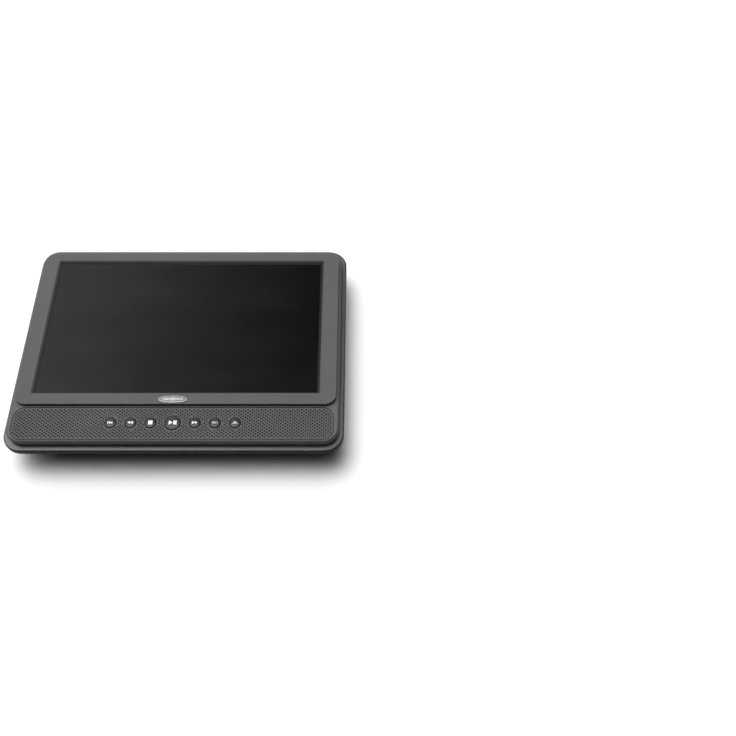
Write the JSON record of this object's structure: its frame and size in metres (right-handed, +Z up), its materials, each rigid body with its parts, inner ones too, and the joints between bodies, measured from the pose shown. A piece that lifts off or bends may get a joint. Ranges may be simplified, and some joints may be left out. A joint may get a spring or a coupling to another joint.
{
  "type": "portable dvd player",
  "caption": "Tablet-style portable disc player with a fixed wide screen, round transport keys in a speaker grille band, a rear disc door and side sockets.",
  "frame": {"origin": "on the surface the player lies on, under the middle of its case", "axes": "+X to the right of the screen, +Y towards the top edge of the screen, +Z up out of the screen"},
  "size_m": [0.2366, 0.171, 0.0302],
  "materials": {
    "case_plastic": "fine-grained near-black moulding",
    "front_plastic": "fine-grained dark grey moulding",
    "bezel_plastic": "satin dark grey moulding",
    "grille_plastic": "perforated dark grey panel",
    "screen_glass": "dark glossy display cover",
    "lcd_black": "black display panel",
    "key_plastic": "glossy black key caps with white symbols",
    "badge_metal": "plain brushed oval plate",
    "steel": "plain sheet or turned steel",
    "board": "green circuit board",
    "black_plastic": "black moulding",
    "rubber": "matt black rubber",
    "speaker_cone": "coated paper cone",
    "lens": "small moulded lens",
    "battery": "shrink-wrapped cell pack"
  },
  "bodies": {
    "housing": {"av_jack": "black_plastic", "backlight_tray": "steel", "badge": "badge_metal", "battery_pack": "battery", "card_slot": "steel", "case_screw_1": "steel", "case_screw_2": "steel", "case_screw_3": "steel", "case_screw_4": "steel", "dc_jack": "black_plastic", "disc_well": "black_plastic", "display_glass": "screen_glass", "door_hinge_pin_left": "steel", "door_hinge_pin_right": "steel", "drive_chassis": "steel", "foot_1": "rubber", "foot_2": "rubber", "foot_3": "rubber", "foot_4": "rubber", "front_case": "front_plastic", "grille_panel": "grille_plastic", "grommet_1": "rubber", "grommet_2": "rubber", "grommet_3": "rubber", "grommet_4": "rubber", "guide_rod_front": "steel", "guide_rod_rear": "steel", "headphone_jack_front": "black_plastic", "headphone_jack_rear": "black_plastic", "jack_board": "board", "key_board": "board", "lcd_panel": "lcd_black", "main_board": "board", "power_switch_body": "black_plastic", "rear_case": "case_plastic", "screen_bezel": "bezel_plastic", "shield_can": "steel", "sled_motor": "steel", "speaker_cone_left": "speaker_cone", "speaker_cone_right": "speaker_cone", "speaker_frame_left": "black_plastic", "speaker_frame_right": "black_plastic", "spindle_motor": "steel", "usb_port": "steel", "volume_control": "black_plastic"},
    "key_previous": {"key_previous": "key_plastic"},
    "key_rewind": {"key_rewind": "key_plastic"},
    "key_stop": {"key_stop": "key_plastic"},
    "key_play_pause": {"key_play_pause": "key_plastic"},
    "key_forward": {"key_forward": "key_plastic"},
    "key_next": {"key_next": "key_plastic"},
    "key_source": {"key_source": "key_plastic"},
    "power_slider": {"power_switch_knob": "black_plastic"},
    "volume_dial": {"volume_wheel": "black_plastic"},
    "disc_lid": {"disc_door": "case_plastic"},
    "lid_latch": {"door_latch": "black_plastic"},
    "disc_spinner": {"turntable": "black_plastic"},
    "pickup_carriage": {"pickup_sled": "black_plastic"},
    "focus_lens": {"pickup_lens": "lens"},
    "feed_screw": {"lead_screw": "steel"}
  },
  "joints": [
    {"name": "key_previous_press", "type": "slide", "parent": "housing", "child": "key_previous", "axis": [0, 0, -1], "range_m": [0, 0.0005], "stiffness_N_per_m": 300},
    {"name": "key_rewind_press", "type": "slide", "parent": "housing", "child": "key_rewind", "axis": [0, 0, -1], "range_m": [0, 0.0005], "stiffness_N_per_m": 300},
    {"name": "key_stop_press", "type": "slide", "parent": "housing", "child": "key_stop", "axis": [0, 0, -1], "range_m": [0, 0.0005], "stiffness_N_per_m": 300},
    {"name": "key_play_pause_press", "type": "slide", "parent": "housing", "child": "key_play_pause", "axis": [0, 0, -1], "range_m": [0, 0.0005], "stiffness_N_per_m": 300},
    {"name": "key_forward_press", "type": "slide", "parent": "housing", "child": "key_forward", "axis": [0, 0, -1], "range_m": [0, 0.0005], "stiffness_N_per_m": 300},
    {"name": "key_next_press", "type": "slide", "parent": "housing", "child": "key_next", "axis": [0, 0, -1], "range_m": [0, 0.0005], "stiffness_N_per_m": 300},
    {"name": "key_source_press", "type": "slide", "parent": "housing", "child": "key_source", "axis": [0, 0, -1], "range_m": [0, 0.0005], "stiffness_N_per_m": 300},
    {"name": "power_slide", "type": "slide", "parent": "housing", "child": "power_slider", "axis": [0, 1, 0], "range_m": [0, 0.003]},
    {"name": "volume_turn", "type": "hinge", "parent": "housing", "child": "volume_dial", "pos_m": [0.092, 0.022, 0.0102], "axis": [0, 0, 1], "range_deg": [-140, 140]},
    {"name": "disc_door_hinge", "type": "hinge", "parent": "housing", "child": "disc_lid", "pos_m": [0, 0.0646, 0.0036], "axis": [1, 0, 0], "range_deg": [0, 95]},
    {"name": "latch_slide", "type": "slide", "parent": "housing", "child": "lid_latch", "axis": [0, -1, 0], "range_m": [0, 0.002], "stiffness_N_per_m": 250},
    {"name": "disc_spin", "type": "hinge", "parent": "housing", "child": "disc_spinner", "pos_m": [0, -0.003, 0.0078], "axis": [0, 0, 1], "continuous": true},
    {"name": "pickup_feed", "type": "slide", "parent": "housing", "child": "pickup_carriage", "axis": [1, 0, 0], "range_m": [0, 0.033]},
    {"name": "lens_focus", "type": "slide", "parent": "pickup_carriage", "child": "focus_lens", "axis": [0, 0, -1], "range_m": [-0.00025, 0.00025], "stiffness_N_per_m": 60},
    {"name": "feed_screw_turn", "type": "hinge", "parent": "housing", "child": "feed_screw", "pos_m": [0.037, -0.0275, 0.0164], "axis": [1, 0, 0], "continuous": true}
  ],
  "couplings": [
    {"joint": "feed_screw_turn", "follows": "pickup_feed", "rad_per_m": 2094.4}
  ]
}
